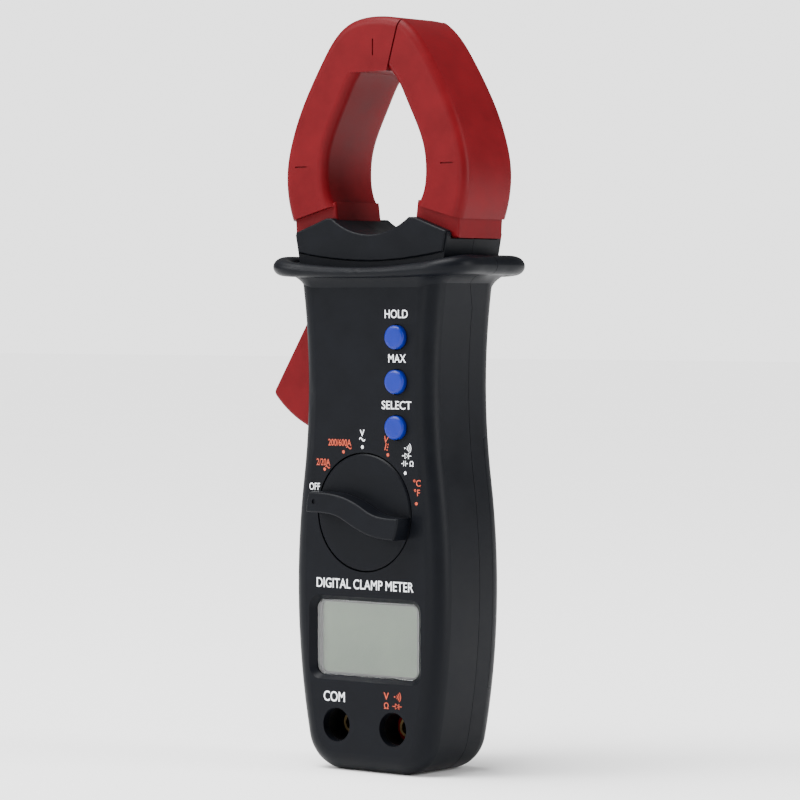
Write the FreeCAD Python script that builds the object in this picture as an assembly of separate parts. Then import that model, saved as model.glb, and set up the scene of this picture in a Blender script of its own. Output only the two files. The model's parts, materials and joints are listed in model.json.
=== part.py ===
import FreeCAD, Part
import math
import os

# Clamp meter, millimetres. X is to the right of a viewer who faces the front, Y goes into the
# depth (the front face looks along -Y) and Z is up, from the rounded end to the jaws.
# The origin is the centre of the small flat at the bottom end.

V = FreeCAD.Vector
ALONG_Y = V(0, 1, 0)

# ---- case ----
HALF_DEPTH = 14.5            # front and back faces of the handle
WALL = 2.2
FRONT_ROUND = 5.0            # edge rounding of the handle, front and rear
REAR_ROUND = 6.0
BELLY_R, BELLY_Z, BELLY_HALF = 205.0, 49.0, 25.2     # widest part of the handle
WAIST_R, WAIST_Z, WAIST_HALF = 190.0, 102.0, 21.5    # narrowest part
CORNER_R = 11.0              # bottom corners in the front view
PARTING_Y = 2.7              # seam plane between the shells along the handle
SEAM = 0.07                  # half of the seam gap
HANDLE_TOP = 132.4           # ends inside the hand guard

# ---- hand guard ----
GUARD_HALF_X, GUARD_HALF_Y, GUARD_CORNER = 33.0, 18.5, 9.5
GUARD_LOW_MID, GUARD_LOW_TIP = 130.8, 131.6
GUARD_HIGH_MID, GUARD_HIGH_TIP = 133.65, 136.8
GUARD_BEAD_ASPECT = 1.15     # width of the bead in plan over its height
GUARD_PLATE_IN = (0.5, 0.6)  # how far the plate lies inside the bead, below and above

# ---- collar around the jaw roots ----
COLLAR_Y = 11.9              # half depth of its wall
PANEL_Y = 12.5               # half depth over the raised panels
JAW_SLOT_Y = 10.2            # half width of the slot that the jaw roots run in
COLLAR_SIDE_TOP = 141.0
SADDLE_Z, SADDLE_R = 163.8, 21.4      # hollow under the jaw window
SADDLE_HALF, SADDLE_THICK = 12.4, 1.8

# ---- jaws ----
PIVOT_X, PIVOT_Z = 13.0, 120.0        # pins of the left and right jaw, along Y
PIN_R, PIN_CLEAR = 2.0, 0.05
JAW_Y = 11.0                 # half depth of the jaws
JAW_ROUND = 2.4
ROOT_Y = 9.6                 # half depth of the jaw roots
ROOT_SWEEP_R = 24.65         # underside of the roots, an arc about the pivot
JAW_GAP = 0.25               # half of the gap between the jaw tips
TIP_TOP_X, TIP_BASE_X = 8.7, 4.8      # where the slanted tip gap meets top and window
WINDOW_TOP, JAW_TOP = 185.4, 200.0
JAW_SHELL = 1.7              # wall of the jaw covers
ARM_FRONT, ARM_REAR = -5.2, 8.6       # depth range of the jaw arms
HUB_R = 6.5
TOOTH_COUNT = 13             # teeth on a full circle of pitch radius PIVOT_X
TRIGGER_Y = 7.6              # half thickness of the trigger
TRIGGER_R = 31.4             # lower edge of the trigger, an arc about the left pivot
TRIGGER_IN_X = -19.8

# ---- face ----
DIAL_X, DIAL_Z = 0.0, 69.0
DIAL_R, DIAL_HOLE_R = 15.45, 15.85
KNOB_TOP = -20.1             # front of the grip bar
POINTER_ANGLE = 168.0        # degrees from +X, the pointer end is at the left when the meter is off
BUTTON_X = 10.8
BUTTON_Z = {"hold": 115.3, "max": 103.6, "select": 91.6}
BUTTON_R, BUTTON_HOLE_R = 3.15, 3.4
LCD_Z = 35.35                # centre height of the display
LCD_MOUTH = (37.7, 22.4, 3.5)         # width, height, corner radius at the face
LCD_POCKET = (34.4, 20.3, 2.6)
LCD_APERTURE = (32.2, 18.8, 1.6)
SOCKET_X, SOCKET_Z, SOCKET_HOLE_R = 9.5, 12.2, 4.5
PLUG_R = 2.0                 # bore for 4 mm plugs

# ---- board and battery compartment ----
BOARD_FRONT, BOARD_BACK = -8.4, -6.8
CELL_R, CELL_LENGTH, CELL_X, CELL_Y = 5.25, 44.5, 5.7, 6.3
TRAY_LOW, TRAY_HIGH = 27.5, 79.2      # inner sides of the end walls are these heights
TRAY_WALL = 1.5
COVER_LOW, COVER_HIGH, COVER_Y = 22.2, 88.5, 8.6
COVER_SCREW_Z = 26.4
POST_R = 2.6                 # posts and bosses round the screws
DIAL_RING_R = 18.9           # ring inside the front that the selector turns in
BOSS_LOW = (17.2, 20.6)      # case screws, x and z, left and right
BOSS_HIGH = (17.0, 83.9)


def box(x0, x1, y0, y1, z0, z1):
    return Part.makeBox(x1 - x0, y1 - y0, z1 - z0, V(x0, y0, z0))


def rod(x, z, radius, y0, y1):
    """Cylinder along Y."""
    return Part.makeCylinder(radius, y1 - y0, V(x, y0, z), ALONG_Y)


def tube(x, z, outer, inner, y0, y1):
    return rod(x, z, outer, y0, y1).cut(rod(x, z, inner, y0 - 1, y1 + 1))


def outline(start, *steps):
    """Closed wire in the XZ plane. A step is a point, or a tuple of points: two make an arc
    (a point on it and its end) and more make a smooth curve through them."""
    edges = []
    here = V(start[0], 0, start[1])
    for step in steps + (start,):
        if isinstance(step[0], tuple):
            points = [V(x, 0, z) for x, z in step]
            if len(points) == 2:
                edges.append(Part.Arc(here, points[0], points[1]).toShape())
            else:
                curve = Part.BSplineCurve()
                curve.interpolate([here] + points)
                edges.append(curve.toShape())
            here = points[-1]
        else:
            there = V(step[0], 0, step[1])
            if (there - here).Length > 1e-6:
                edges.append(Part.LineSegment(here, there).toShape())
            here = there
    return Part.Wire(edges)


def prism(wire, y0, y1):
    face = Part.Face(wire)
    face.translate(V(0, y0, 0))
    return face.extrude(V(0, y1 - y0, 0))


def mirrored(shape):
    return shape.mirror(V(0, 0, 0), V(1, 0, 0))


def fused(first, *others):
    return first.fuse(list(others)).removeSplitter()


def round_edges(shape, radius, wanted):
    edges = [edge for edge in shape.Edges if wanted(edge.BoundBox)]
    return shape.makeFillet(radius, edges)


def in_plane_y(y, low=-1e9, high=1e9):
    """Picks the edges that lie in the plane at y and between two heights."""
    def wanted(b):
        return abs(b.YMin - y) < 1e-4 and abs(b.YMax - y) < 1e-4 and b.ZMin >= low and b.ZMax <= high
    return wanted


def rounded_rect(width, height, radius, z_mid, x_mid=0.0):
    """Wire in the XZ plane with rounded corners."""
    w, h, r = width / 2, height / 2, radius
    k = r * (1 - math.sqrt(0.5))
    corner = [(x_mid + sx * w, z_mid + sz * h) for sx, sz in ((1, -1), (1, 1), (-1, 1), (-1, -1))]
    (ax, az), (bx, bz), (cx, cz), (dx, dz) = corner
    return outline((dx + r, dz), (ax - r, az), ((ax - k, az + k), (ax, az + r)),
                   (bx, bz - r), ((bx - k, bz - k), (bx - r, bz)),
                   (cx + r, cz), ((cx + k, cz - k), (cx, cz - r)),
                   (dx, dz + r), ((dx + k, dz + k), (dx + r, dz)))


# ---------------------------------------------------------------- case

def handle_wire(inset, top):
    """Front outline of the handle, moved inwards: bottom flat, corner, belly and waist arcs."""
    belly = V(BELLY_HALF - BELLY_R, 0, BELLY_Z)
    waist = V(WAIST_HALF + WAIST_R, 0, WAIST_Z)
    drop = BELLY_Z - CORNER_R
    corner = V(belly.x + math.sqrt((BELLY_R - CORNER_R) ** 2 - drop ** 2), 0, CORNER_R)
    to_corner = (corner - belly).normalize()
    to_waist = (waist - belly).normalize()
    low = belly + to_corner * (BELLY_R - inset)
    high = belly + to_waist * (BELLY_R - inset)
    side = math.atan2(to_corner.z, to_corner.x)
    half = (side - math.pi / 2) / 2
    corner_mid = corner + V(math.cos(half), 0, math.sin(half)) * (CORNER_R - inset)

    def waist_x(z):
        return waist.x - math.sqrt((WAIST_R + inset) ** 2 - (z - WAIST_Z) ** 2)

    belly_mid = (belly.x + BELLY_R - inset, BELLY_Z)
    mid_z = (high.z + top) / 2
    right = [((corner_mid.x, corner_mid.z), (low.x, low.z)), (belly_mid, (high.x, high.z)),
             ((waist_x(mid_z), mid_z), (waist_x(top), top))]
    left = [(-waist_x(top), top), ((-waist_x(mid_z), mid_z), (-high.x, high.z)),
            ((-belly_mid[0], BELLY_Z), (-low.x, low.z)), ((-corner_mid.x, corner_mid.z), (-corner.x, inset))]
    return outline((-corner.x, inset), (corner.x, inset), *right, *left)


def handle_solid(inset):
    """The handle with its edges rounded. The inner one, with an inset, is its cavity."""
    depth = HALF_DEPTH - inset
    shape = prism(handle_wire(inset, HANDLE_TOP), -depth, depth)
    shape = round_edges(shape, FRONT_ROUND - inset, in_plane_y(-depth, high=HANDLE_TOP - 0.01))
    return round_edges(shape, REAR_ROUND - inset, in_plane_y(depth, high=HANDLE_TOP - 0.01))


def guard_heights(x):
    """Underside and top of the hand guard, which curves upwards towards its two tips."""
    share = (x / GUARD_HALF_X) ** 2
    return (GUARD_LOW_MID + (GUARD_LOW_TIP - GUARD_LOW_MID) * share,
            GUARD_HIGH_MID + (GUARD_HIGH_TIP - GUARD_HIGH_MID) * share)


def plan_rect(half_x, half_y, radius, z):
    """Rounded rectangle in the XY plane."""
    wire = rounded_rect(2 * half_x, 2 * half_y, radius, 0)
    wire.rotate(V(0, 0, 0), V(1, 0, 0), 90)
    wire.translate(V(0, 0, z))
    return wire


def guard_stations():
    """Evenly spaced points on the right half of the guard's plan outline, from the middle of the
    back round the tip to the middle of the front, each with its outward direction in degrees."""
    flat_x, flat_y = GUARD_HALF_X - GUARD_CORNER, GUARD_HALF_Y - GUARD_CORNER
    back = [(flat_x * step / 6, GUARD_HALF_Y, 90.0) for step in range(6)]
    for angle in (90.0, 67.5, 45.0, 22.5, 0.0):
        turn = math.radians(angle)
        back.append((flat_x + GUARD_CORNER * math.cos(turn), flat_y + GUARD_CORNER * math.sin(turn), angle))
    back += [(GUARD_HALF_X, flat_y * share, 0.0) for share in (0.6, 0.2)]
    return back + [(x, -y, -angle) for x, y, angle in reversed(back)]


def guard_bead():
    """Rounded rim of the hand guard in two halves: thin along the front and back, thick at the tips."""
    sections = []
    for x, y, angle in guard_stations():
        low, high = guard_heights(x)
        half = (high - low) / 2
        reach = half * GUARD_BEAD_ASPECT
        turn = math.radians(angle)
        ellipse = Part.Ellipse(V(0, 0, 0), reach, half).toShape()
        ellipse.rotate(V(0, 0, 0), V(1, 0, 0), 90)
        ellipse.rotate(V(0, 0, 0), V(0, 0, 1), angle)
        ellipse.translate(V(x - reach * math.cos(turn), y - reach * math.sin(turn), (low + high) / 2))
        sections.append(Part.Wire(ellipse))
    right = Part.makeLoft(sections, True)
    return right, mirrored(right)


def guard_solid():
    """Bead, the plate inside it and the hollow flare that runs down into the handle."""
    far = GUARD_HALF_X + 2
    low_far, high_far = guard_heights(far)
    rise, fall = GUARD_PLATE_IN
    slab = prism(outline((-far, low_far + rise), ((0, GUARD_LOW_MID + rise), (far, low_far + rise)),
                         (far, high_far - fall), ((0, GUARD_HIGH_MID - fall), (-far, high_far - fall))),
                 -GUARD_HALF_Y, GUARD_HALF_Y)
    plan = plan_rect(GUARD_HALF_X - 2.0, GUARD_HALF_Y - 1.4, GUARD_CORNER - 1.6, GUARD_LOW_MID - 5)
    plate = slab.common(Part.Face(plan).extrude(V(0, 0, 20)))
    flare = Part.makeLoft([plan_rect(22.6, 14.3, 5.0, 127.4), plan_rect(23.6, 15.0, 5.5, 129.6),
                           plan_rect(25.0, 15.8, 6.2, 130.8), plan_rect(27.6, 17.0, 7.4, 131.9)], True)
    return [*guard_bead(), plate, flare]


def collar_wire():
    """Front outline of the collar panel, from the guard up to the jaw roots."""
    return outline((-24.2, 137.6), ((0, 135.3), (24.2, 137.6)), (25.2, 143.1), (14.7, 146.8),
                   (13.0, 146.8), ((0, SADDLE_Z - SADDLE_R), (-13.0, 146.8)), (-14.7, 146.8),
                   (-25.2, 143.1))


def collar_solid():
    low = GUARD_LOW_MID + 1
    core = outline((-23.5, low), (23.5, low), (24.6, 137.4), (25.6, 142.6), (14.9, 146.5),
                   (12.8, 146.5), ((0, SADDLE_Z - SADDLE_R - 0.3), (-12.8, 146.5)), (-14.9, 146.5),
                   (-25.6, 142.6), (-24.6, 137.4))
    wall = prism(core, -COLLAR_Y, COLLAR_Y)
    panels = prism(collar_wire(), -PANEL_Y, PANEL_Y)
    panels = round_edges(panels, 0.45, lambda b: in_plane_y(-PANEL_Y)(b) or in_plane_y(PANEL_Y)(b))
    return wall, panels


def jaw_slot():
    """Room for the jaw roots: between the side walls below, open to both sides above them."""
    neck = box(-20.4, 20.4, -JAW_SLOT_Y, JAW_SLOT_Y, 124, 132)
    low = neck.fuse(box(-23.4, 23.4, -JAW_SLOT_Y, JAW_SLOT_Y, 131.6, 142))
    high = box(-40, 40, -JAW_SLOT_Y, JAW_SLOT_Y, COLLAR_SIDE_TOP, 170)
    return low.fuse(high)


def saddle():
    """Curved floor that closes the case between the two jaw roots."""
    end_z = SADDLE_Z - math.sqrt(SADDLE_R ** 2 - SADDLE_HALF ** 2)
    under = SADDLE_R + SADDLE_THICK
    under_z = SADDLE_Z - math.sqrt(under ** 2 - SADDLE_HALF ** 2)
    wire = outline((-SADDLE_HALF, end_z), ((0, SADDLE_Z - SADDLE_R), (SADDLE_HALF, end_z)),
                   (SADDLE_HALF, under_z), ((0, SADDLE_Z - under), (-SADDLE_HALF, under_z)))
    return prism(wire, -JAW_SLOT_Y - 0.5, JAW_SLOT_Y + 0.5)


def display_cut():
    """Bevelled mouth, lens pocket and aperture of the display."""
    def rect(size, y):
        wire = rounded_rect(*size, LCD_Z)
        wire.translate(V(0, y, 0))
        return wire
    mouth = Part.makeLoft([rect(LCD_MOUTH, -HALF_DEPTH - 0.01), rect(LCD_POCKET, -13.2)], True)
    pocket = prism(rounded_rect(*LCD_POCKET, LCD_Z), -13.25, -12.1)
    return fused(mouth, pocket, prism(rounded_rect(*LCD_APERTURE, LCD_Z), -12.2, -10))


def case_solid():
    """Both shells as one hollow body, before it is parted."""
    wall, panels = collar_solid()
    handle = handle_solid(0)
    outer = handle.fuse(guard_solid() + [wall, panels])
    hollow = handle_solid(WALL).cut(box(-60, 60, -20, 20, 125, 140))
    shape = outer.cut([hollow, jaw_slot()])
    return shape.fuse(saddle()), handle_solid(WALL)


def half_space(front):
    """The side of the parting surface that a shell keeps. It bends to mid depth at the guard."""
    gap = -SEAM if front else SEAM
    far = -40 if front else 40
    points = [(far, -5), (PARTING_Y + gap, -5), (PARTING_Y + gap, 123), (gap, 131.6), (gap, 210), (far, 210)]
    wire = Part.makePolygon([V(-60, y, z) for y, z in points + points[:1]])
    return Part.Face(wire).extrude(V(120, 0, 0))


def trigger_slot():
    return box(-30, -15, -TRIGGER_Y - 0.5, TRIGGER_Y + 0.5, 88.3, 126.3)


def at_screws(make):
    """One solid at each of the four case screws."""
    return [make(side * x, z) for x, z in (BOSS_LOW, BOSS_HIGH) for side in (-1, 1)]


def front_shell(case, cavity):
    """Front half: display rim, dial ring and screw posts added, then every opening cut."""
    def against_skin(shape, z):
        return shape.common(cavity.fuse(rod(0, z, 60, -13, -12.25)))

    rim = against_skin(prism(rounded_rect(37.4, 23.4, 2.5, LCD_Z), -13.0, -11.4), LCD_Z)
    ring = against_skin(tube(DIAL_X, DIAL_Z, DIAL_RING_R, DIAL_RING_R - 1.3, -12.5, -9.6), DIAL_Z)
    posts = at_screws(lambda x, z: rod(x, z, POST_R, -12.6, PARTING_Y - SEAM))
    front = case.common(half_space(True)).fuse([rim, ring] + posts)
    tools = [display_cut(), rod(DIAL_X, DIAL_Z, DIAL_HOLE_R, -20, -12)]
    tools += [rod(BUTTON_X, z, BUTTON_HOLE_R, -20, -12) for z in BUTTON_Z.values()]
    tools += [rod(side * SOCKET_X, SOCKET_Z, SOCKET_HOLE_R, -20, -12) for side in (-1, 1)]
    tools += at_screws(lambda x, z: rod(x, z, 1.0, -8, 6))
    return front.cut(tools)


def cell_tray():
    """End walls, floor and ledges of the cell bay, open in the middle of the case's parting plane."""
    ledge_low, ledge_high = PARTING_Y + 0.5, COVER_Y - 0.2
    walls = [box(-30, 30, -0.4, ledge_high, TRAY_LOW, TRAY_LOW + TRAY_WALL),
             box(-30, 30, -0.4, ledge_high, TRAY_HIGH, TRAY_HIGH + TRAY_WALL),
             box(-30, 30, -0.4, 0.6, TRAY_LOW, TRAY_HIGH + TRAY_WALL),
             box(-2, 2, 4, ledge_high, COVER_SCREW_Z - 1, TRAY_LOW + 1),
             box(-30, 30, ledge_low, ledge_high, COVER_LOW - 3.2, COVER_LOW - 1.7),
             box(-30, 30, ledge_low, ledge_high, COVER_HIGH - 1.8, COVER_HIGH - 0.3)]
    beside_tray = box(-30, 30, -1, PARTING_Y + SEAM, TRAY_LOW - 1, TRAY_HIGH + 4).cut(
        box(-19, 19, -2, 20, 0, 100))
    inside = handle_solid(WALL - 0.3)
    return [wall.common(inside).cut(beside_tray) for wall in walls]


def rear_shell(case):
    """Rear half: cell tray, screw bosses, pivot bosses and the seat of the jaw spring."""
    inside = handle_solid(WALL - 0.3)
    bosses = at_screws(lambda x, z: rod(x, z, POST_R, PARTING_Y + SEAM, COVER_Y - 0.2))
    webs = box(-30, 30, PARTING_Y + 0.3, COVER_Y - 0.2, BOSS_HIGH[1] - 0.9, BOSS_HIGH[1] + 0.9)
    webs = webs.cut(box(-16.5, 16.5, 0, 20, 0, 200)).common(inside)
    pivots = [rod(side * PIVOT_X, PIVOT_Z, 4.0, ARM_REAR + 0.3, HALF_DEPTH - WALL + 0.4)
              for side in (-1, 1)]
    spring_seat = box(13.6, 19.8, 1.2, 12.5, 99.2, 100.8).common(inside)
    cover_post = rod(0, COVER_SCREW_Z, POST_R, 3.4, 12.0)
    rear = case.common(half_space(False))
    rear = rear.cut(box(-60, 60, COVER_Y - 0.1, 30, COVER_LOW - 0.1, COVER_HIGH + 0.1))
    rear = rear.fuse(cell_tray() + bosses + [webs] + pivots + [spring_seat, cover_post])
    tools = at_screws(lambda x, z: rod(x, z, 1.3, 0, 20))
    tools += [rod(side * PIVOT_X, PIVOT_Z, PIN_R + 0.02, 5, 12.2) for side in (-1, 1)]
    return rear.cut(tools + [rod(0, COVER_SCREW_Z, 1.3, 4.5, 14)])


def battery_cover(cavity):
    cover = handle_solid(0).cut(cavity).common(box(-60, 60, COVER_Y, 30, COVER_LOW, COVER_HIGH))
    grip_grooves = [box(-10, 10, 13.9, 30, z, z + 0.9) for z in (79.5, 82.0, 84.5)]
    return cover.cut([rod(0, COVER_SCREW_Z, 1.5, 5, 30), rod(0, COVER_SCREW_Z, 3.0, 13.1, 30)]).cut(
        grip_grooves)


def shells():
    case, cavity = case_solid()
    case = case.cut(trigger_slot())
    return front_shell(case, cavity), rear_shell(case), battery_cover(cavity)


# ---------------------------------------------------------------- jaws

def moved_inwards(points, distance):
    """The points of a curve, each moved to the curve's left."""
    moved = []
    for number, (x, z) in enumerate(points):
        before, after = points[max(number - 1, 0)], points[min(number + 1, len(points) - 1)]
        along_x, along_z = after[0] - before[0], after[1] - before[1]
        length = math.hypot(along_x, along_z)
        moved.append((x - distance * along_z / length, z + distance * along_x / length))
    return tuple(moved)


def jaw_wire(side, inset=0.0, tip_inset=0.0):
    """Front outline of one jaw above its root, drawn as if on the right. The left jaw (side -1)
    reaches past the middle. An inset moves the long sides inwards."""
    tip_top = (side * TIP_TOP_X + JAW_GAP + tip_inset, 198.9)
    tip_base = (side * TIP_BASE_X + JAW_GAP + tip_inset, WINDOW_TOP)
    outer = [(28.3, 146.2), (30.2, 153.5), (30.4, 160.0), (28.9, 167.2), (26.0, 174.9), (22.3, 182.0),
             (17.9, 189.2), (13.6, 195.0)]
    inner = [(7.9, 181.9), (10.3, 177.4), (13.3, 171.6), (15.9, 165.0), (16.6, 159.0), (16.0, 154.0),
             (13.9, 150.1)]
    if side > 0:
        outer, inner = outer + [tip_top], [tip_base] + inner
        start = []
    else:
        outer += [(9.0, 198.4), (4.5, 199.7), (0, JAW_TOP), (-4.5, 199.7), tip_top]
        inner = [(5.4, WINDOW_TOP)] + inner
        start = [(tip_base[0], WINDOW_TOP + inset)]
    outer = moved_inwards(outer, inset)
    inner = moved_inwards(inner, inset)
    return outline(outer[0], outer[1:], *start, inner[0], inner[1:])


def own_side(side, gap):
    """The space on one jaw's side of the slanted gap between the tips, drawn as if on the right."""
    lean = side * (TIP_TOP_X - TIP_BASE_X) / (198.9 - WINDOW_TOP)
    low, high = 145.0, 205.0
    line = [(side * TIP_BASE_X + gap + lean * (z - WINDOW_TOP), z) for z in (low, high)]
    return prism(outline(line[0], (60.0, low), (60.0, high), line[1]), -20, 20)


def jaw_half(side):
    """Front half of a solid jaw, with its two long edges rounded."""
    half = prism(jaw_wire(side), -JAW_Y, 0)
    on_face = in_plane_y(-JAW_Y)
    return half.makeFillet(JAW_ROUND, [e for e in half.Edges if on_face(e.BoundBox) and e.Length > 20])


def root_wire():
    """Jaw root: steps in below the face, and its underside is an arc about the pivot."""
    def sweep_point(x):
        return (x, PIVOT_Z + math.sqrt(ROOT_SWEEP_R ** 2 - (x - PIVOT_X) ** 2))
    return outline((12.9, 139.0), (18.1, 139.0), sweep_point(18.5), (sweep_point(22.2), sweep_point(25.4)),
                   (27.4, 141.2), (27.8, 147.5), (13.8, 151.3), (12.9, 144.5))


def jaw_parts(side):
    """Front cover, rear cover, core, bobbin and coil of one jaw."""
    root = round_edges(prism(root_wire(), -ROOT_Y, 0), 0.7, in_plane_y(-ROOT_Y))
    foot = box(-60, 60, -20, 20, 140, 152.2)
    hollow = prism(jaw_wire(side, JAW_SHELL, JAW_SHELL), JAW_SHELL - JAW_Y, 5).cut(foot)
    core_in = JAW_SHELL + 2.5
    room = prism(jaw_wire(side, core_in - 0.05, -2.0), -5.1, 5.1).cut(foot)
    core = prism(jaw_wire(side, core_in, -2.0), -5.0, 5.0).cut(box(-60, 60, -20, 20, 140, 152.6))
    core = core.common(own_side(side, JAW_GAP + 0.1))
    marks = [box(22.5, 26.5, -20, 0.4 - JAW_Y, 160.5, 160.9), box(-0.2, 0.2, -20, 0.4 - JAW_Y, 189.6, 194.0)]
    front = jaw_half(side).fuse(root).cut([hollow, room] + marks)
    window = box(-40, 40, -20, 20, 154.0, 171.5)
    bobbin = prism(jaw_wire(side, JAW_SHELL + 1.7), -5.8, 5.8).cut(room).common(window)
    window = box(-40, 40, -20, 20, 155.0, 170.5)
    space = prism(jaw_wire(side, JAW_SHELL + 1.68), -5.82, 5.82)
    coil = prism(jaw_wire(side, JAW_SHELL + 0.3), -8.4, 8.4).cut(space).common(window)
    pieces = [front, front.mirror(V(0, 0, 0), ALONG_Y), core, bobbin, coil]
    return pieces if side > 0 else [mirrored(piece) for piece in pieces]


def tooth(side, angle, root_r, tip_r):
    """One tooth of the sector about a pivot, pointing along angle (degrees, front view)."""
    pitch = 2 * math.pi * PIVOT_X / TOOTH_COUNT
    half_root, half_tip = 0.30 * pitch, 0.13 * pitch
    corners = [(root_r, -half_root), (tip_r, -half_tip), (tip_r, half_tip), (root_r, half_root)]
    turn = math.radians(angle)
    points = []
    for along, across in corners:
        x = along * math.cos(turn) - across * math.sin(turn)
        z = along * math.sin(turn) + across * math.cos(turn)
        points.append((side * PIVOT_X + x, PIVOT_Z + z))
    return prism(outline(*points), ARM_FRONT + 1, ARM_REAR - 1)


def jaw_arm(side):
    """Carrier under a jaw root: hub on the pivot pin, limb to the root and tooth sector."""
    hub = rod(side * PIVOT_X, PIVOT_Z, HUB_R, ARM_FRONT, ARM_REAR)
    limb_points = [(18.3, 121.5), (17.1, 131.0), (18.0, 138.9), (10.6, 138.9), (6.8, 121.5)]
    limb = prism(outline(*[(side * x, z) for x, z in limb_points]), ARM_FRONT, ARM_REAR)
    spread = 360 / TOOTH_COUNT
    facing = 0 if side < 0 else 180
    angles = [-spread, 0, spread] if side < 0 else [facing - spread / 2, facing + spread / 2]
    root_r = PIVOT_X - 2.3
    sweep = 45
    a0, a1 = math.radians(facing - sweep), math.radians(facing + sweep)
    centre = (side * PIVOT_X, PIVOT_Z)
    ends = [(centre[0] + root_r * math.cos(a), centre[1] + root_r * math.sin(a)) for a in (a0, a1)]
    middle = (centre[0] + root_r * math.cos(math.radians(facing)), centre[1])
    sector = prism(outline(centre, ends[0], (middle, ends[1])), ARM_FRONT + 1, ARM_REAR - 1)
    teeth = [tooth(side, angle, root_r - 0.4, PIVOT_X + 1.6) for angle in angles]
    arm = hub.fuse([limb, sector] + teeth)
    if side < 0:
        tongue = outline((-12.0, 117.0), (-17.4, 97.0), (-19.7, 96.0), (-19.7, 123.5), (-16.0, 125.5))
        arm = arm.fuse(prism(tongue, -4.5, 4.5))
    else:
        arm = arm.fuse(box(14.0, 18.4, 1.5, ARM_REAR, 113.8, 118.0))
    return arm.cut(rod(side * PIVOT_X, PIVOT_Z, PIN_R + PIN_CLEAR, -20, 20)).removeSplitter()


def trigger():
    """Lever on the left jaw: straight upper edge, lower edge an arc about the left pivot."""
    def arc_point(x):
        return (x, PIVOT_Z - math.sqrt(TRIGGER_R ** 2 - (x + PIVOT_X) ** 2))
    wire = outline((TRIGGER_IN_X, 125.4), (-21.6, 125.4), (-37.23, 100.03),
                   (arc_point(-29.5), arc_point(TRIGGER_IN_X)))
    shape = prism(wire, -TRIGGER_Y, TRIGGER_Y)
    tip = lambda b: b.XLength < 0.01 and b.XMin < -37 and b.YLength > 5
    shape = round_edges(shape, 1.6, tip)
    sides = lambda b: (in_plane_y(-TRIGGER_Y)(b) or in_plane_y(TRIGGER_Y)(b)) and b.XMin < TRIGGER_IN_X - 0.1
    return round_edges(shape, 1.0, sides)


def helix(x, y, z0, length, radius, wire_r, turns):
    """Coil spring along Z."""
    path = Part.makeHelix(length / turns, length, radius)
    section = Part.Wire(Part.makeCircle(wire_r, V(radius, 0, 0), V(0, 1, 0)))
    coil = Part.Wire(path).makePipeShell([section], True, True)
    coil.translate(V(x, y, z0))
    return coil


# ---------------------------------------------------------------- face parts

def knob():
    """Disc, retaining flange, hub and the wavy grip bar, whose ends are flush with the disc's rim."""
    disc = rod(DIAL_X, DIAL_Z, DIAL_R, -14.75, -12.0)
    disc = disc.makeChamfer(0.35, [e for e in disc.Edges if in_plane_y(-14.75)(e.BoundBox)])
    flange = rod(DIAL_X, DIAL_Z, 16.9, -12.15, -11.3)
    hub = rod(DIAL_X, DIAL_Z, 3.8, -11.4, -5.4).cut(tube(DIAL_X, DIAL_Z, 5, 3.1, -6.75, -6.05))
    upper = ((-10.6, 5.25), (-6.5, 4.9), (-2.0, 3.9), (2.6, 2.0), (6.4, 0.1), (10.2, -0.7), (17.5, -0.8))
    lower = ((9.5, -6.4), (5.4, -5.6), (1.2, -4.0), (-2.0, -2.4), (-5.2, -1.0), (-9.1, -0.3), (-17.5, -0.1))
    wire = outline((-17.5, 5.3), upper, (17.5, -6.5), lower)
    wire.translate(V(DIAL_X, 0, DIAL_Z))
    bar = prism(wire, KNOB_TOP, -14.4).common(rod(DIAL_X, DIAL_Z, DIAL_R - 0.05, -30, 0))
    bar = round_edges(bar, 0.5, in_plane_y(KNOB_TOP))
    turn = math.radians(POINTER_ANGLE)
    dimple = rod(DIAL_X + 13.0 * math.cos(turn), DIAL_Z + 13.0 * math.sin(turn), 0.65,
                 KNOB_TOP - 1, KNOB_TOP + 0.4)
    return disc.fuse([flange, hub, bar.cut(dimple)]).removeSplitter()


def button(z):
    cap = rod(BUTTON_X, z, BUTTON_R, -16.1, -12.0)
    cap = round_edges(cap, 0.8, in_plane_y(-16.1))
    return cap.fuse(rod(BUTTON_X, z, 4.0, -12.15, -11.75)).removeSplitter()


def display_parts():
    lens = prism(rounded_rect(34.2, 20.1, 2.5, LCD_Z), -13.15, -12.15)
    lens = round_edges(lens, 0.25, in_plane_y(-13.15))
    glass = prism(rounded_rect(34.6, 21.0, 0.6, LCD_Z), -11.3, -9.5)
    frame = prism(rounded_rect(34.8, 21.6, 1.0, LCD_Z), -9.45, -8.45)
    frame = frame.cut(box(-14.2, 14.2, -20, 0, LCD_Z - 10.2, LCD_Z + 10.2))
    strips = [box(-14, 14, -9.45, -8.45, LCD_Z + side * 9.2 - 0.8, LCD_Z + side * 9.2 + 0.8)
              for side in (-1, 1)]
    return lens, glass, frame, Part.Compound(strips)


def sockets():
    """Sleeves behind the two face holes and the plug contacts inside them."""
    parts = {}
    for name, side in (("com", -1), ("volt", 1)):
        x = side * SOCKET_X
        sleeve = rod(x, SOCKET_Z, 5.6, -12.25, 3.0)
        sleeve = sleeve.cut([rod(x, SOCKET_Z, 4.35, -20, 1.5), rod(x, SOCKET_Z, 2.75, 0, 10)])
        contact = tube(x, SOCKET_Z, 2.7, PLUG_R, -8.0, 6.0)
        tag = box(x - 1.5, x + 1.5, 4.2, 4.8, SOCKET_Z + 2.3, SOCKET_Z + 6.3)
        contact = contact.fuse(tag).cut(rod(x, SOCKET_Z, PLUG_R, -9, 8)).removeSplitter()
        parts[name] = (sleeve, contact)
    return parts


# ---------------------------------------------------------------- inside

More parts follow.
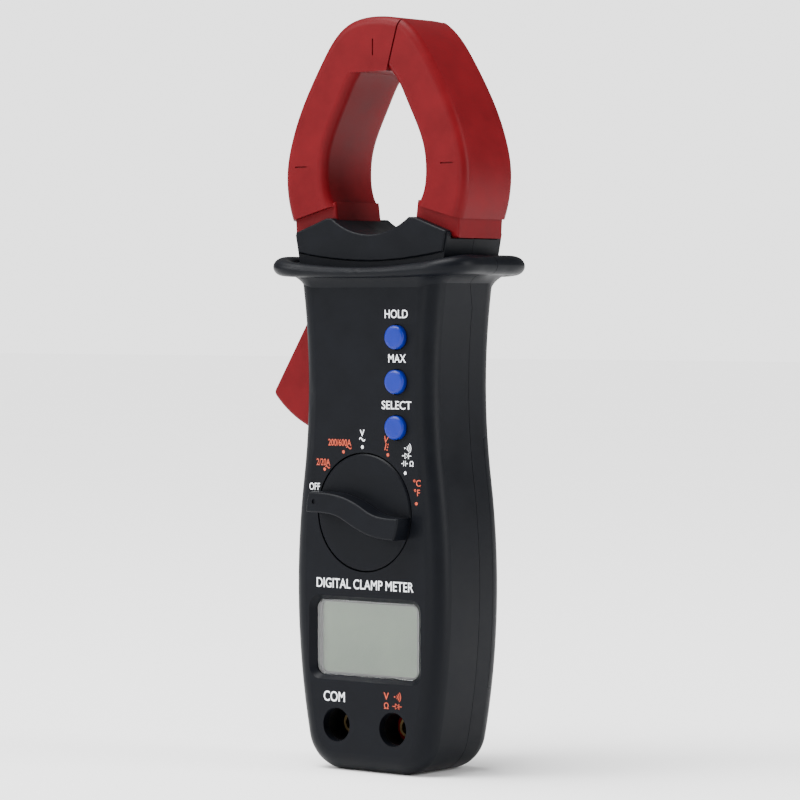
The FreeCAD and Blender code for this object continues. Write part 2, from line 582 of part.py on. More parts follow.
def board():
    wire = outline((-14.0, 24.6), (14.0, 24.6), (14.0, 88.0), (17.0, 92.0), (17.0, 118.4), (4.5, 118.4),
                   (4.5, 108.0), (-8.0, 106.0), (-8.0, 88.0), (-14.0, 86.0))
    return prism(wire, BOARD_FRONT, BOARD_BACK).cut(rod(DIAL_X, DIAL_Z, 4.2, -20, 0))


def board_supports():
    places = ((-12.2, 49.5), (14.8, 97.5))
    return Part.Compound([rod(x, z, 1.6, -12.25, BOARD_FRONT - 0.02) for x, z in places])


def selector_inside():
    carrier = tube(DIAL_X, DIAL_Z, 16.0, 4.0, -11.25, -9.35)
    pockets = []
    balls, springs = [], []
    for angle in (90, 270):
        direction = V(math.cos(math.radians(angle)), 0, math.sin(math.radians(angle)))
        centre = V(DIAL_X, -10.3, DIAL_Z)
        pockets.append(Part.makeCylinder(0.8, 4.2, centre + direction * 12.4, direction))
        balls.append(Part.makeSphere(0.7, centre + direction * 16.2))
        springs.append(Part.makeCylinder(0.6, 2.9, centre + direction * 12.5, direction).cut(
            Part.makeCylinder(0.35, 4, centre + direction * 12, direction)))
    carrier = carrier.cut(pockets)
    wipers = []
    for angle, reach in ((0, 7.0), (120, 9.5), (240, 12.0)):
        blade = box(reach - 1.2, reach + 1.2, -9.3, -8.65, DIAL_Z - 0.9, DIAL_Z + 0.9)
        blade.rotate(V(DIAL_X, 0, DIAL_Z), V(0, 1, 0), angle)
        wipers.append(blade)
    retainer = tube(DIAL_X, DIAL_Z, 5.6, 3.15, -6.65, -6.15)
    tracks = [tube(DIAL_X, DIAL_Z, r + 0.8, r - 0.8, BOARD_FRONT - 0.06, BOARD_FRONT)
              for r in (7.0, 9.5, 12.0)]
    groups = [Part.Compound(group) for group in (wipers, balls, springs, tracks)]
    return carrier, groups[0], retainer, *groups[1:]


def leaf_spring(x, low, side):
    """Arched strip that presses on the flat end of a cell. On the right it hangs from above."""
    rise, thick = 3.1, 0.25
    inner = 4.0 - thick * 1.3
    wire = outline((-4.0, 0), ((0, rise), (4.0, 0)), (inner, 0), ((0, rise - thick), (-inner, 0)))
    strip = prism(wire, CELL_Y - 1.8, CELL_Y + 1.8)
    if side > 0:
        strip = strip.mirror(V(0, 0, rise / 2), V(0, 0, 1))
    strip.translate(V(x, 0, low))
    return strip


def batteries():
    cells, springs = [], []
    for side in (-1, 1):
        low = 33.4 if side < 0 else 29.9
        body_low = low if side < 0 else low + 0.9
        can = Part.makeCylinder(CELL_R, CELL_LENGTH - 0.9, V(side * CELL_X, CELL_Y, body_low))
        can = can.makeFillet(0.5, [e for e in can.Edges if e.BoundBox.ZLength < 0.01])
        nub_low = low + CELL_LENGTH - 1.4 if side < 0 else low
        cells.append(can.fuse(Part.makeCylinder(1.9, 1.4, V(side * CELL_X, CELL_Y, nub_low))))
        spring_low = 29.75 if side < 0 else 75.05
        springs.append(leaf_spring(side * CELL_X, spring_low, side))
    plates = [box(side * CELL_X - 4, side * CELL_X + 4, 2.0, 8.2, z, z + 0.4)
              for side in (-1, 1) for z in (TRAY_LOW + TRAY_WALL + 0.05, TRAY_HIGH - 0.45)]
    return Part.Compound(cells), Part.Compound(springs), Part.Compound(plates)


def screw(x, z, head_y, tip_y, radius, head_r):
    """Pan-head screw driven from the back, with a cross recess."""
    head = rod(x, z, head_r, head_y - 1.2, head_y)
    cross = [box(x - 1.6, x + 1.6, head_y - 0.7, head_y + 1, z - 0.3, z + 0.3),
             box(x - 0.3, x + 0.3, head_y - 0.7, head_y + 1, z - 1.6, z + 1.6)]
    return head.fuse(rod(x, z, radius, tip_y, head_y - 0.5)).cut(cross)


def main():
    os.makedirs("parts", exist_ok=True)
    parts = {}
    parts["front_shell"], parts["rear_shell"], parts["battery_cover"] = shells()
    for side, name in ((-1, "left"), (1, "right")):
        front, rear, core, bobbin, coil = jaw_parts(side)
        parts[name + "_jaw_front"], parts[name + "_jaw_rear"] = front, rear
        parts[name + "_core"], parts[name + "_bobbin"], parts[name + "_coil"] = core, bobbin, coil
        parts[name + "_jaw_arm"] = jaw_arm(side)
    parts["trigger"] = trigger()
    parts["pivot_pins"] = Part.Compound([rod(s * PIVOT_X, PIVOT_Z, PIN_R, -6.6, 12.0) for s in (-1, 1)])
    plate = prism(rounded_rect(34, 7.5, 3, PIVOT_Z), -6.5, -5.5)
    parts["pivot_plate"] = plate.cut([rod(s * PIVOT_X, PIVOT_Z, PIN_R + 0.02, -8, -4) for s in (-1, 1)])
    parts["jaw_spring"] = helix(16.2, 5.0, 101.3, 12.0, 2.1, 0.3, 6)
    parts["selector_knob"] = knob()
    for name, z in BUTTON_Z.items():
        parts[name + "_button"] = button(z)
    parts["tact_switches"] = Part.Compound(
        [box(BUTTON_X - 3, BUTTON_X + 3, -10.6, BOARD_FRONT, z - 3, z + 3).fuse(
            rod(BUTTON_X, z, 1.6, -11.2, -10))
         for z in BUTTON_Z.values()])
    parts["lcd_lens"], parts["lcd_glass"], parts["lcd_frame"], parts["zebra_strips"] = display_parts()
    for name, (sleeve, contact) in sockets().items():
        parts[name + "_socket"], parts[name + "_contact"] = sleeve, contact
    parts["main_board"] = board()
    parts["board_posts"] = board_supports()
    (parts["contact_carrier"], parts["wiper_contacts"], parts["selector_retainer"], parts["detent_balls"],
     parts["detent_springs"], parts["selector_tracks"]) = selector_inside()
    parts["meter_chip"] = box(-7, 7, BOARD_BACK, BOARD_BACK + 2, 45, 59)
    parts["quartz_can"] = Part.makeCylinder(1.6, 8, V(10.5, BOARD_BACK + 1.65, 44))
    parts["buzzer"] = rod(9.5, 99, 6.0, BOARD_BACK, -2.8).cut(rod(9.5, 99, 1.0, -4, -2))
    parts["ptc_thermistor"] = rod(0, 31, 4.2, BOARD_BACK + 0.6, BOARD_BACK + 3.2)
    parts["battery_cells"], parts["battery_springs"], parts["battery_plates"] = batteries()
    parts["battery_cover_screw"] = screw(0, COVER_SCREW_Z, 14.35, 6.0, 1.2, 2.7)
    parts["case_screws"] = Part.Compound([screw(s * x, z, COVER_Y + 1.0, -4.0, 0.98, 2.2)
                                          for x, z in (BOSS_LOW, BOSS_HIGH) for s in (-1, 1)])
    for name, shape in parts.items():
        solids = shape.Solids
        good = shape.isValid() and solids and all(s.isClosed() for s in solids)
        print(f"{name:22s} solids {len(solids)} volume {shape.Volume:10.1f} {'ok' if good else 'BAD'}")
        shape.exportStep(f"parts/{name}.step")


main()
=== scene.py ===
"""Clamp meter: materials, printed legends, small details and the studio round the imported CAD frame."""
import json
import math

import bmesh
import bpy
from mathutils import Matrix, Vector

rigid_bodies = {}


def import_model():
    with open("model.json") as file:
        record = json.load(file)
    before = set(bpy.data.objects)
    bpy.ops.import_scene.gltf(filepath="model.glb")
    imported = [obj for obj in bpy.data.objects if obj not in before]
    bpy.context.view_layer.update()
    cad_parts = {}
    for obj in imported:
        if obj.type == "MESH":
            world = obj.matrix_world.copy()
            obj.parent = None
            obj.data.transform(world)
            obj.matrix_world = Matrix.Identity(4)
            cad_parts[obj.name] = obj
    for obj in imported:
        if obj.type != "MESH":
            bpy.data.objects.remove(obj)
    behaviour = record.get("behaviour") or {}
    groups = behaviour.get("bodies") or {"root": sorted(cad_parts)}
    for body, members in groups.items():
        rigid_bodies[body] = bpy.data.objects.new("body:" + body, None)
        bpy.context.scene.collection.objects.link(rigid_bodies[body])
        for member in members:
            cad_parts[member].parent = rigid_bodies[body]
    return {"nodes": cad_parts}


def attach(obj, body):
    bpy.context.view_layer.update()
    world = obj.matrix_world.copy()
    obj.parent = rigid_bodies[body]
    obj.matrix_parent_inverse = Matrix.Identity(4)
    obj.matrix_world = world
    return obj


for start_object in list(bpy.data.objects):
    bpy.data.objects.remove(start_object)

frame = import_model()
nodes = frame["nodes"]
bpy.context.view_layer.update()

MM = 0.001
FACE_Y = -14.5                 # front face of the handle, mm
TYPE_WEIGHT = 0.008            # how much the type is thickened, as a share of its size
PRINT_LIFT = 0.02              # printed marks stand this far in front of the face
PRINT_DEPTH = 0.012
DOT_SIDES = 20
RED_FROM_Y = -0.0065           # depth in the input socket at which its red insulator starts, m
RED_EDGE = 0.0003              # half the width of that change of colour, m
GRAIN_SCALE = 2600             # spark-eroded grain of moulded plastic
GRAIN_HEIGHT = 0.00002         # m
MOTTLE_STOPS = (0.3, 0.7)      # ramp positions between which a mottled gloss varies


# ---------------------------------------------------------------- materials

def new_material(name):
    material = bpy.data.materials.new(name)
    material.use_nodes = True
    tree = material.node_tree
    return material, tree, tree.nodes["Principled BSDF"]


def texture(tree, kind, scale, **settings):
    """A 3-D texture in the object's own coordinates, which are metres in the row frame."""
    place = tree.nodes.new("ShaderNodeTexCoord")
    node = tree.nodes.new(kind)
    node.inputs["Scale"].default_value = scale
    for key, value in settings.items():
        node.inputs[key].default_value = value
    tree.links.new(place.outputs["Object"], node.inputs["Vector"])
    return node


def ramp(tree, source, stops):
    """Colour ramp over source, with stops as (position, (r, g, b))."""
    node = tree.nodes.new("ShaderNodeValToRGB")
    elements = node.color_ramp.elements
    while len(elements) < len(stops):
        elements.new(0.5)
    for element, (position, colour) in zip(elements, stops):
        element.position = position
        element.color = (*colour, 1)
    tree.links.new(source, node.inputs["Fac"])
    return node.outputs["Color"]


def paint(tree, shader, socket, source, stops):
    """Sets a socket of the shader from a colour ramp over source."""
    tree.links.new(ramp(tree, source, stops), shader.inputs[socket])


def gloss_stops(rough):
    """Ramp stops from the glossier to the duller roughness of a mottled surface."""
    return [(position, (value,) * 3) for position, value in zip(MOTTLE_STOPS, rough)]


def bump(tree, shader, source, distance, strength):
    """Fine relief, with its height as a distance in metres."""
    node = tree.nodes.new("ShaderNodeBump")
    node.inputs["Distance"].default_value = distance
    node.inputs["Strength"].default_value = strength
    tree.links.new(source, node.inputs["Height"])
    tree.links.new(node.outputs["Normal"], shader.inputs["Normal"])


def shade(colour, factor):
    return tuple(channel * factor for channel in colour)


def moulded(name, colour, rough, strength=0.35, specular=0.5):
    """Injection-moulded plastic: faint mottle in colour and gloss, and a fine spark-eroded grain."""
    material, tree, shader = new_material(name)
    mottle = texture(tree, "ShaderNodeTexNoise", 140, Detail=5.0, Roughness=0.6).outputs["Fac"]
    paint(tree, shader, "Base Color", mottle, [(0.3, shade(colour, 0.88)), (0.7, shade(colour, 1.12))])
    paint(tree, shader, "Roughness", mottle, gloss_stops(rough))
    grain = texture(tree, "ShaderNodeTexNoise", GRAIN_SCALE, Detail=3.0, Roughness=0.55)
    bump(tree, shader, grain.outputs["Fac"], GRAIN_HEIGHT, strength)
    shader.inputs["Specular IOR Level"].default_value = specular
    return material


def metal(name, colour, rough):
    """Drawn or turned metal with fine marks and a slightly uneven gloss."""
    material, tree, shader = new_material(name)
    shader.inputs["Metallic"].default_value = 1.0
    noise = texture(tree, "ShaderNodeTexNoise", 300, Detail=6.0).outputs["Fac"]
    paint(tree, shader, "Base Color", noise, [(0.3, shade(colour, 0.85)), (0.7, colour)])
    paint(tree, shader, "Roughness", noise, gloss_stops(rough))
    marks = texture(tree, "ShaderNodeTexNoise", 900, Detail=2.0)
    bump(tree, shader, marks.outputs["Fac"], 0.000008, 0.4)
    return material


def banded_metal(name, direction, scale, distortion, stops, rough, height, strength):
    """Metal in close parallel bands, across the given axis."""
    material, tree, shader = new_material(name)
    shader.inputs["Metallic"].default_value = 1.0
    bands = texture(tree, "ShaderNodeTexWave", scale, Distortion=distortion, Detail=2.0)
    bands.bands_direction = direction
    paint(tree, shader, "Base Color", bands.outputs["Fac"], stops)
    shader.inputs["Roughness"].default_value = rough
    bump(tree, shader, bands.outputs["Fac"], height, strength)
    return material


def windings():
    """Enamelled copper wire, wound round the jaw section in close turns."""
    return banded_metal("copper_wire", "Z", 650, 0.6, [(0.1, (0.25, 0.07, 0.02)), (0.8, (0.85, 0.36, 0.16))],
                        rough=0.28, height=0.00012, strength=0.8)


def laminations():
    """Stacked core sheets, seen as fine lines across the depth."""
    return banded_metal("core_laminations", "Y", 900, 0.3,
                        [(0.1, (0.12, 0.12, 0.13)), (0.6, (0.42, 0.42, 0.44))],
                        rough=0.34, height=0.00005, strength=0.6)


def clear_lens():
    """Clear window with a faint haze of fine handling marks."""
    material, tree, shader = new_material("clear_window")
    shader.inputs["Transmission Weight"].default_value = 1.0
    shader.inputs["IOR"].default_value = 1.49
    shader.inputs["Specular IOR Level"].default_value = 0.12
    marks = texture(tree, "ShaderNodeTexNoise", 500, Detail=4.0).outputs["Fac"]
    paint(tree, shader, "Roughness", marks, [(0.35, (0.02,) * 3), (0.75, (0.07,) * 3)])
    paint(tree, shader, "Base Color", marks, [(0.3, (0.93, 0.95, 0.94)), (0.7, (0.99, 1.0, 0.99))])
    return material


def display_glass():
    """Switched-off reflective display: grey-green, with a fine reflector grain and a soft cloud."""
    material, tree, shader = new_material("display_glass")
    grain = texture(tree, "ShaderNodeTexNoise", 3200, Detail=2.0)
    cloud = texture(tree, "ShaderNodeTexNoise", 45, Detail=2.0)
    mix = tree.nodes.new("ShaderNodeMath")
    mix.operation = "MULTIPLY_ADD"
    mix.inputs[1].default_value = 0.25
    tree.links.new(grain.outputs["Fac"], mix.inputs[0])
    tree.links.new(cloud.outputs["Fac"], mix.inputs[2])
    paint(tree, shader, "Base Color", mix.outputs["Value"],
          [(0.4, (0.080, 0.118, 0.074)), (0.85, (0.120, 0.165, 0.108))])
    shader.inputs["Roughness"].default_value = 0.3
    shader.inputs["Specular IOR Level"].default_value = 0.06
    bump(tree, shader, grain.outputs["Fac"], 0.000006, 0.3)
    return material


def board_green():
    """Solder mask over tracks: a darker weave with brighter track-like cells."""
    material, tree, shader = new_material("board_mask")
    cells = texture(tree, "ShaderNodeTexVoronoi", 420)
    cells.distance = "MANHATTAN"
    paint(tree, shader, "Base Color", cells.outputs["Distance"],
          [(0.2, (0.02, 0.16, 0.06)), (0.6, (0.01, 0.09, 0.035))])
    shader.inputs["Roughness"].default_value = 0.3
    bump(tree, shader, cells.outputs["Distance"], 0.00002, 0.5)
    return material


def socket_sleeve():
    """Input socket: black at the mouth, with the red insulator showing deeper in the bore."""
    material, tree, shader = new_material("socket_sleeve")
    place = tree.nodes.new("ShaderNodeTexCoord")
    axes = tree.nodes.new("ShaderNodeSeparateXYZ")
    tree.links.new(place.outputs["Object"], axes.inputs["Vector"])
    depth = tree.nodes.new("ShaderNodeMapRange")
    depth.inputs["From Min"].default_value = RED_FROM_Y - RED_EDGE
    depth.inputs["From Max"].default_value = RED_FROM_Y + RED_EDGE
    tree.links.new(axes.outputs["Y"], depth.inputs["Value"])
    paint(tree, shader, "Base Color", depth.outputs["Result"],
          [(0.0, SOCKET_BLACK), (1.0, (0.26, 0.006, 0.006))])
    grain = texture(tree, "ShaderNodeTexNoise", GRAIN_SCALE, Detail=3.0)
    bump(tree, shader, grain.outputs["Fac"], GRAIN_HEIGHT, 0.3)
    shader.inputs["Roughness"].default_value = 0.4
    shader.inputs["Specular IOR Level"].default_value = 0.2
    return material


def printed(name, colour):
    """Screen-printed ink, slightly uneven in cover."""
    material, tree, shader = new_material(name)
    cover = texture(tree, "ShaderNodeTexNoise", 900, Detail=4.0)
    paint(tree, shader, "Base Color", cover.outputs["Fac"], [(0.25, shade(colour, 0.82)), (0.6, colour)])
    shader.inputs["Roughness"].default_value = 0.5
    bump(tree, shader, cover.outputs["Fac"], 0.00001, 0.3)
    return material


# Base colours are darker than the plastics look, because the view transform lightens them.
BLACK = (0.0024, 0.0029, 0.0044)
SOCKET_BLACK = (0.002, 0.002, 0.0025)
RED = (0.090, 0.0022, 0.0042)
FINISHES = {
    "case_black": moulded("case_plastic", BLACK, (0.38, 0.48), specular=0.08),
    "jaw_red": moulded("jaw_plastic", RED, (0.40, 0.50), specular=0.08),
    "button_blue": moulded("button_plastic", (0.0012, 0.010, 0.19), (0.3, 0.4), strength=0.15, specular=0.25),
    "lens_clear": clear_lens(),
    "display_green": display_glass(),
    "socket_black": moulded("socket_plastic", SOCKET_BLACK, (0.4, 0.5), specular=0.15),
    "socket_red": socket_sleeve(),
    "brass": metal("brass", (0.12, 0.085, 0.038), (0.4, 0.54)),
    "steel": metal("steel", (0.34, 0.35, 0.37), (0.34, 0.48)),
    "core_steel": laminations(),
    "copper": windings(),
    "white_plastic": moulded("white_plastic", (0.68, 0.68, 0.65), (0.4, 0.5)),
    "nylon_grey": moulded("nylon", (0.20, 0.20, 0.21), (0.45, 0.55)),
    "board_green": board_green(),
    "chip_black": moulded("chip_epoxy", (0.016, 0.016, 0.018), (0.5, 0.62)),
    "rubber_pink": moulded("conductive_rubber", (0.42, 0.13, 0.13), (0.6, 0.7)),
    "cell_jacket": moulded("cell_jacket", (0.035, 0.05, 0.10), (0.22, 0.3)),
}
WHITE_INK = printed("white_ink", (0.88, 0.90, 0.93))
ORANGE_INK = printed("orange_ink", (0.44, 0.045, 0.008))

for node_object in nodes.values():
    for material_slot in node_object.material_slots:
        material_slot.material = FINISHES[material_slot.material.name.split(".")[0]]


# ---------------------------------------------------------------- printed legends

def on_face(obj, x, z, body="root", turn=0.0):
    """Puts a flat piece, drawn in its own XY plane, on the front face at x, z (mm)."""
    obj.matrix_world = (Matrix.Translation(Vector((x, FACE_Y - PRINT_LIFT, z)) * MM)
                        @ Matrix.Rotation(math.radians(90), 4, "X")
                        @ Matrix.Rotation(math.radians(turn), 4, "Z"))
    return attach(obj, body)


def as_mesh(obj, name):
    """Turns a text or curve object into a mesh object of the same name."""
    bpy.context.view_layer.update()
    evaluated = obj.evaluated_get(bpy.context.evaluated_depsgraph_get())
    mesh = bpy.data.meshes.new_from_object(evaluated)
    materials = list(obj.data.materials)
    bpy.data.objects.remove(obj)
    made = bpy.data.objects.new(name, mesh)
    bpy.context.scene.collection.objects.link(made)
    mesh.materials.clear()
    for material in materials:
        mesh.materials.append(material)
    return made


def legend(name, words, x, z, cap_height, ink, width=None, turn=0.0):
    """Printed words centred at x, z. The width in mm squeezes them as the condensed type is."""
    curve = bpy.data.curves.new(name, "FONT")
    curve.body = words
    curve.align_x, curve.align_y = "CENTER", "CENTER"
    curve.extrude = PRINT_DEPTH * MM
    curve.offset = TYPE_WEIGHT
    curve.materials.append(ink)
    text = bpy.data.objects.new(name + "_text", curve)
    bpy.context.scene.collection.objects.link(text)
    piece = as_mesh(text, name)
    low = [min(v.co[i] for v in piece.data.vertices) for i in (0, 1)]
    high = [max(v.co[i] for v in piece.data.vertices) for i in (0, 1)]
    tall = cap_height * MM / (high[1] - low[1])
    wide = width * MM / (high[0] - low[0]) if width else tall
    middle = [(low[i] + high[i]) / 2 for i in (0, 1)]
    for vertex in piece.data.vertices:
        vertex.co.x = (vertex.co.x - middle[0]) * wide
        vertex.co.y = (vertex.co.y - middle[1]) * tall
        vertex.co.z = PRINT_DEPTH * MM * (1 if vertex.co.z > 0 else -1)
    return on_face(piece, x, z, turn=turn)


def strokes(name, lines, x, z, ink, thick, turn=0.0):
    """A printed symbol from open lines of (x, z) points in mm about its centre. A line of one
    point is a dot, with thick as its radius."""
    mesh_data = bmesh.new()
    for line in lines:
        if len(line) == 1:
            bmesh.ops.create_circle(mesh_data, cap_ends=True, segments=DOT_SIDES, radius=thick * MM,
                                    matrix=Matrix.Translation((line[0][0] * MM, line[0][1] * MM, 0)))
            continue
        sides = []
        for number, (px, pz) in enumerate(line):
            before, after = line[max(number - 1, 0)], line[min(number + 1, len(line) - 1)]
            along = Vector((after[0] - before[0], after[1] - before[1])).normalized()
            across = Vector((-along.y, along.x)) * thick / 2
            sides.append([mesh_data.verts.new(((px + s * across.x) * MM, (pz + s * across.y) * MM, 0))
                          for s in (1, -1)])
        for (a, b), (c, d) in zip(sides, sides[1:]):
            mesh_data.faces.new((a, b, d, c))
    solid = bmesh.ops.extrude_face_region(mesh_data, geom=mesh_data.faces[:])
    bmesh.ops.translate(mesh_data, vec=(0, 0, PRINT_DEPTH * MM),
                        verts=[g for g in solid["geom"] if isinstance(g, bmesh.types.BMVert)])
    bmesh.ops.recalc_face_normals(mesh_data, faces=mesh_data.faces[:])
    mesh = bpy.data.meshes.new(name)
    mesh_data.to_mesh(mesh)
    mesh_data.free()
    mesh.materials.append(ink)
    piece = bpy.data.objects.new(name, mesh)
    bpy.context.scene.collection.objects.link(piece)
    return on_face(piece, x, z, turn=turn)


def arc(radius, start, end, steps=10):
    """Points on an arc about the symbol's centre, in mm and degrees."""
    angles = [math.radians(start + (end - start) * step / steps) for step in range(steps + 1)]
    return [(radius * math.cos(angle), radius * math.sin(angle)) for angle in angles]


def wave(width, height, steps=12):
    """One period of the alternating-current sign."""
    shares = [step / steps for step in range(steps + 1)]
    return [(width * (share - 0.5), height * math.sin(2 * math.pi * share)) for share in shares]


def straight_sign(width):
    """The direct-current sign: a full line over a dashed one."""
    dash, rise = width / 5, 0.35
    middles = [number * 2 * dash for number in (-1, 0, 1)]
    dashes = [[(middle - dash / 2, -rise), (middle + dash / 2, -rise)] for middle in middles]
    return [[(-width / 2, rise), (width / 2, rise)]] + dashes


# In each call: name, words, x and z of the middle, height of the capitals, ink and width, in mm.
legend("legend_hold", "HOLD", 10.7, 121.4, 2.2, WHITE_INK, 7.6)
legend("legend_max", "MAX", 11.0, 109.75, 2.2, WHITE_INK, 5.8)
legend("legend_select", "SELECT", 10.8, 97.5, 2.2, WHITE_INK, 9.8)
legend("legend_type", "DIGITAL CLAMP METER", 0.1, 49.9, 2.6, WHITE_INK, 32.6)
legend("legend_com", "COM", -10.2, 19.7, 2.7, WHITE_INK, 7.2)

MARKS_Z = 68.6                 # the printed scale is centred a little below the knob
SCALE_R = 17.7                 # radius of the ring of dots
DOT_R = 0.45
FINE_LINE = 0.2                # stroke width of the small symbols
AMPS_LINE = 0.26
DIAL_MARKS = [                 # name, angle from the right in degrees, ink
    ("temperature", 10.8, ORANGE_INK),
    ("continuity", 39.2, WHITE_INK),
    ("volts_dc", 63.4, ORANGE_INK),
    ("volts_ac", 92.0, WHITE_INK),
    ("amps_high", 113.3, ORANGE_INK),
    ("amps_low", 139.5, ORANGE_INK),
]


def on_scale(angle, radius):
    """Where a mark stands on the dial's scale, as x and z in mm."""
    turn = math.radians(angle)
    return radius * math.cos(turn), MARKS_Z + radius * math.sin(turn)


for mark, angle, ink in DIAL_MARKS:
    strokes("dot_" + mark, [[(0, 0)]], *on_scale(angle, SCALE_R), ink, DOT_R)


def sounder(name, x, z, ink):
    """Continuity sounder: a dot with growing arcs."""
    waves = [arc(radius, -42, 42) for radius in (0.7, 1.25, 1.8)]
    strokes(name, [[(-0.2, 0)]] + waves, x - 0.6, z, ink, FINE_LINE)


def diode(name, x, z, ink):
    """Diode test: a triangle against a bar, on a line."""
    strokes(name, [[(-1.5, 0), (-0.6, 0)], [(-0.6, 0.7), (-0.6, -0.7), (0.6, 0), (-0.6, 0.7)],
                   [(0.6, 0.75), (0.6, -0.75)], [(0.6, 0), (1.5, 0)]], x, z, ink, 0.19)


def capacitor(name, x, z, ink):
    """Capacitance: two facing bars, each on a line."""
    strokes(name, [[(-1.1, 0), (-0.3, 0)], [(-0.3, 0.7), (-0.3, -0.7)], [(0.3, 0.7), (0.3, -0.7)],
                   [(0.3, 0), (1.1, 0)]], x, z, ink, FINE_LINE)


legend("legend_off", "OFF", -16.9, 75.4, 1.9, WHITE_INK, 3.6)
legend("legend_volts_ac", "V", -0.7, 90.0, 1.7, WHITE_INK)
strokes("sign_volts_ac", [wave(1.9, 0.4)], -0.7, 88.3, WHITE_INK, 0.32)
legend("legend_volts_dc", "V", 7.3, 88.4, 1.7, ORANGE_INK, turn=-14)
strokes("sign_volts_dc", straight_sign(1.9), 7.5, 86.5, ORANGE_INK, 0.3, turn=76)
legend("legend_amps_high", "200/600A", -8.3, 87.3, 1.8, ORANGE_INK, 7.8)
strokes("sign_amps_high", [wave(1.7, 0.28)], -5.2, 86.0, ORANGE_INK, AMPS_LINE)
legend("legend_amps_low", "2/20A", -13.9, 82.0, 1.8, ORANGE_INK, 4.6)
strokes("sign_amps_low", [wave(1.5, 0.28)], -12.4, 80.7, ORANGE_INK, AMPS_LINE)
legend("legend_celsius", "°C", 17.6, 77.3, 1.8, ORANGE_INK)
legend("legend_fahrenheit", "°F", 17.6, 74.8, 1.8, ORANGE_INK)
sounder("sign_sounder", 14.4, 86.3, WHITE_INK)
diode("sign_diode", 14.2, 84.3, WHITE_INK)
capacitor("sign_capacitor", 13.5, 82.3, WHITE_INK)
legend("legend_ohm", "Ω", 15.8, 82.3, 1.4, WHITE_INK)

# The input socket's four marks stand in two columns and two rows over it.
INPUT_LEFT, INPUT_RIGHT = 7.4, 11.0
INPUT_UPPER, INPUT_LOWER = 20.9, 18.4
legend("legend_input_volts", "V", INPUT_LEFT, INPUT_UPPER, 1.9, ORANGE_INK)
sounder("sign_input_sounder", INPUT_RIGHT, INPUT_UPPER, ORANGE_INK)
legend("legend_input_ohm", "Ω", INPUT_LEFT, INPUT_LOWER, 1.7, ORANGE_INK)
diode("sign_input_diode", INPUT_RIGHT, INPUT_LOWER, ORANGE_INK)


# ---------------------------------------------------------------- studio

FLOOR_HALF = 6.0               # m
MIDDLE = (0, 0, 0.10)          # the lamps point here
SOFTBOXES = [                  # name, place, width and height in metres, watts
    ("key", (-0.75, -0.85, 0.75), 0.6, 0.6, 17),
    ("side", (1.0, 0.25, 0.40), 0.35, 0.9, 12),
    ("fill", (0.10, -1.3, 0.30), 0.5, 0.5, 5),
]
SUN_STRENGTH = 8.0
SUN_SPREAD = 45                # degrees
SUN_TILT = (14, -12)           # degrees about X and Y
BACKDROP_LIGHT = 0.35          # how strongly the backdrop lights the meter
BACKDROP_SEEN = 2.5            # how bright the camera sees it


def studio_material(name, colour, roughness):
    material, tree, shader = new_material(name)
    noise = texture(tree, "ShaderNodeTexNoise", 4, Detail=2.0)
    tree.links.new(ramp(tree, noise.outputs["Fac"], [(0.3, shade(colour, 0.99)), (0.7, colour)]),
                   shader.inputs["Base Color"])
    shader.inputs["Roughness"].default_value = roughness
    return material


def floor():
    """A wide pale sheet at the meter's foot."""
    corners = [(FLOOR_HALF * x, FLOOR_HALF * y, 0.0) for x, y in ((-1, -1), (1, -1), (1, 1), (-1, 1))]
    mesh = bpy.data.meshes.new("floor")
    mesh.from_pydata(corners, [], [(0, 1, 2, 3)])
    mesh.materials.append(studio_material("floor_paper", (0.93, 0.93, 0.93), 0.7))
    plane = bpy.data.objects.new("floor", mesh)
    bpy.context.scene.collection.objects.link(plane)


def softbox(name, place, target, width, height, watts):
    """A rectangular lamp that points at the target."""
    data = bpy.data.lights.new(name, "AREA")
    data.shape = "RECTANGLE"
    data.size, data.size_y = width, height
    data.energy = watts
    lamp = bpy.data.objects.new(name, data)
    lamp.location = place
    lamp.rotation_euler = (Vector(target) - Vector(place)).to_track_quat("-Z", "Y").to_euler()
    bpy.context.scene.collection.objects.link(lamp)


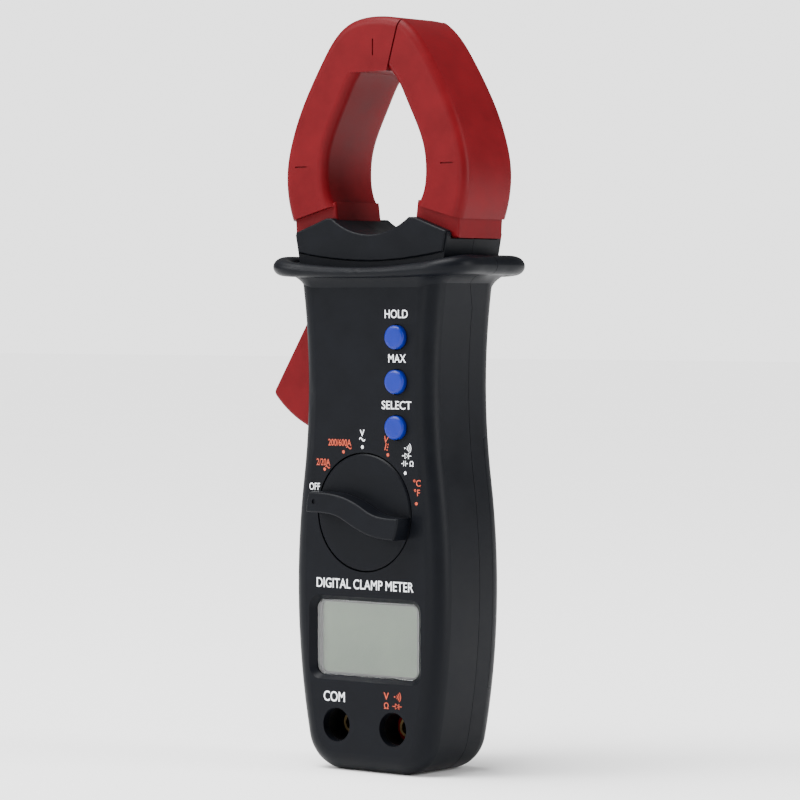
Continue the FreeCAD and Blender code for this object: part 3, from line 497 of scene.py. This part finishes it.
floor()
for lamp_name, place, width, height, watts in SOFTBOXES:
    softbox(lamp_name, place, MIDDLE, width, height, watts)
sun_data = bpy.data.lights.new("overhead", "SUN")       # even light on the whole floor
sun_data.energy = SUN_STRENGTH
sun_data.angle = math.radians(SUN_SPREAD)
sun = bpy.data.objects.new("overhead", sun_data)
sun.rotation_euler = (math.radians(SUN_TILT[0]), math.radians(SUN_TILT[1]), 0)
bpy.context.scene.collection.objects.link(sun)

world = bpy.data.worlds.new("studio")
bpy.context.scene.world = world
world.use_nodes = True
backdrop = world.node_tree.nodes["Background"]
backdrop.inputs["Color"].default_value = (1, 1, 1, 1)
# The camera sees a pale backdrop, while the light that it throws on the meter stays dim.
seen = world.node_tree.nodes.new("ShaderNodeLightPath")
level = world.node_tree.nodes.new("ShaderNodeMapRange")
level.inputs["To Min"].default_value = BACKDROP_LIGHT
level.inputs["To Max"].default_value = BACKDROP_SEEN
world.node_tree.links.new(seen.outputs["Is Camera Ray"], level.inputs["Value"])
world.node_tree.links.new(level.outputs["Result"], backdrop.inputs["Strength"])

# The camera stands to the right of the front, level with the middle of the meter.
AZIMUTH = 38.0                 # degrees from straight in front
DISTANCE = 0.955               # m, as the next three
CAMERA_Z = 0.1235
AIM_Z = 0.0984
AXIS_SHIFT = 0.0005            # the line of sight passes this far right of the meter's axis
SENSOR_WIDTH = 36.0            # mm
FOCAL_LENGTH = 161.1           # mm
back = Vector((math.sin(math.radians(AZIMUTH)), -math.cos(math.radians(AZIMUTH)), 0))
right = Vector((math.cos(math.radians(AZIMUTH)), math.sin(math.radians(AZIMUTH)), 0))
camera_data = bpy.data.cameras.new("camera")
camera_data.sensor_width = SENSOR_WIDTH
camera_data.lens = FOCAL_LENGTH
camera = bpy.data.objects.new("camera", camera_data)
camera.location = back * DISTANCE + right * AXIS_SHIFT + Vector((0, 0, CAMERA_Z))
aim = right * AXIS_SHIFT + Vector((0, 0, AIM_Z))
camera.rotation_euler = (aim - camera.location).to_track_quat("-Z", "Y").to_euler()
bpy.context.scene.collection.objects.link(camera)
bpy.context.scene.camera = camera

bpy.context.view_layer.update()
